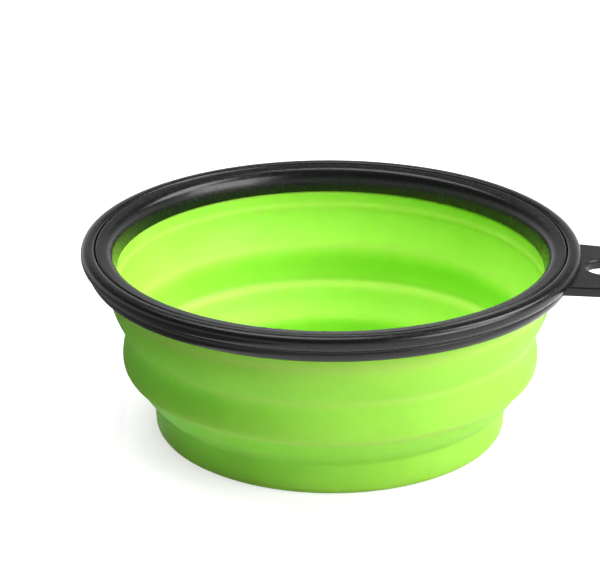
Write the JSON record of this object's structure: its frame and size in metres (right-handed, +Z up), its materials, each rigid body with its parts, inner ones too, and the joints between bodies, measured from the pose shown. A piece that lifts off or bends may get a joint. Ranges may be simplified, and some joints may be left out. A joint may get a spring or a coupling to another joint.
{
  "type": "collapsible silicone bowl",
  "caption": "Round soft travel bowl with folding wall bands that collapse flat, held in a hard two-part rim with a flat hanging tab.",
  "frame": {"origin": "centre of the base underside, on the surface the bowl stands on", "axes": "+Z up along the axis of the bowl, +X towards the hanging tab"},
  "size_m": [0.1511, 0.13, 0.0506],
  "materials": {
    "silicone": "satin moulded silicone",
    "rim": "semi-gloss moulded plastic"
  },
  "bodies": {
    "base": {"base_floor": "silicone", "base_band": "silicone", "lower_fold": "silicone"},
    "middle": {"middle_band": "silicone"},
    "shoulder": {"upper_fold": "silicone"},
    "rim": {"upper_band": "silicone", "rim_inner_ring": "rim", "rim_outer_ring": "rim"}
  },
  "joints": [
    {"name": "collapse", "type": "slide", "parent": "base", "child": "rim", "axis": [0, 0, 1], "range_m": [-0.036, 0], "deforming": ["upper_fold"]},
    {"name": "shoulder_drop", "type": "slide", "parent": "base", "child": "shoulder", "axis": [0, 0, 1], "range_m": [-0.02664, 0]},
    {"name": "middle_drop", "type": "slide", "parent": "base", "child": "middle", "axis": [0, 0, 1], "range_m": [-0.01368, 0]}
  ],
  "couplings": [
    {"joint": "shoulder_drop", "follows": "collapse", "ratio": 0.74},
    {"joint": "middle_drop", "follows": "collapse", "ratio": 0.38}
  ]
}
